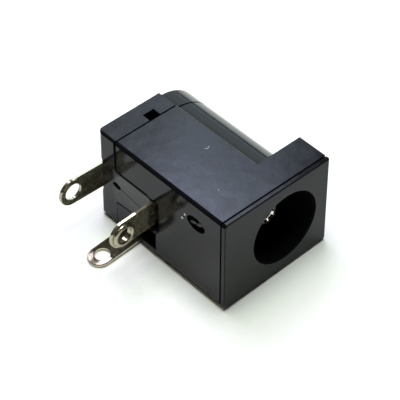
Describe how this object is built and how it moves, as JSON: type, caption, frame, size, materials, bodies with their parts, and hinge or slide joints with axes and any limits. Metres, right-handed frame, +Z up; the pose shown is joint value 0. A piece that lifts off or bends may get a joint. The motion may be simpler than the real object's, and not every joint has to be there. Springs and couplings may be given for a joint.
{
  "type": "dc barrel jack",
  "caption": "Board-mount power socket with a square front flange, an arched black body, a centre pin and flat round-tipped terminals with wire holes.",
  "frame": {"origin": "centre of the socket mouth, on the axis of the bore and the centre pin", "axes": "+Y runs along the bore into the body, so the mouth faces -Y; the terminals leave toward -X, which is the board side; +X is the arched side; +Z is up with the jack lying on its flat side"},
  "size_m": [0.0153, 0.0146, 0.0094],
  "materials": {
    "moulded_black": "injection-moulded glass-filled thermoplastic, black, semi-gloss",
    "plated_pin": "turned brass, nickel-plated",
    "plated_strip": "stamped brass strip, nickel-plated"
  },
  "bodies": {
    "root": {"housing": "moulded_black", "rear_cover": "moulded_black", "centre_pin": "plated_pin", "pin_terminal": "plated_strip", "sleeve_contact": "plated_strip", "switch_contact": "plated_strip"}
  },
  "joints": []
}
